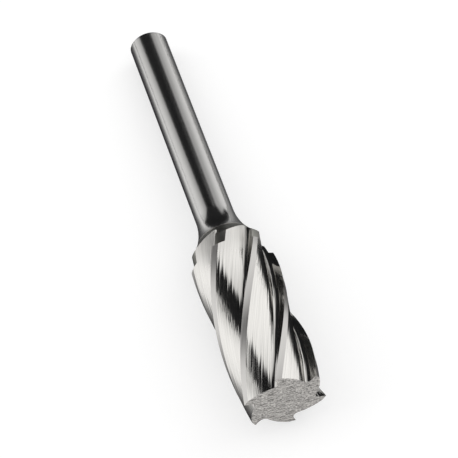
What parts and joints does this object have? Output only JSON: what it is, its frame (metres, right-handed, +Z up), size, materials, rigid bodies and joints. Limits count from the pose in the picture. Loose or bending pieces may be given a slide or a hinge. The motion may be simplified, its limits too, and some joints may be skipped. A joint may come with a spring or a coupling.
{
  "type": "carbide burr",
  "caption": "Cylindrical carbide burr with coarse right-hand helical teeth, a plain flat end and a straight round shank, for a die grinder.",
  "frame": {"origin": "middle of the burr's footprint, on the surface that it lies on", "axes": "+X towards the cutting head's end face, +Z up; the burr lies on its side, and its axis rises by about 3.7 degrees towards +X"},
  "size_m": [0.0704, 0.0126, 0.0137],
  "materials": {
    "ground_carbide": "bright ground carbide with fine grinding lines along the teeth",
    "silver_solder": "ground flush, satin",
    "ground_steel": "bright ground steel"
  },
  "bodies": {
    "root": {"cutting_head": "ground_carbide", "braze_joint": "silver_solder", "shank": "ground_steel"}
  },
  "joints": []
}
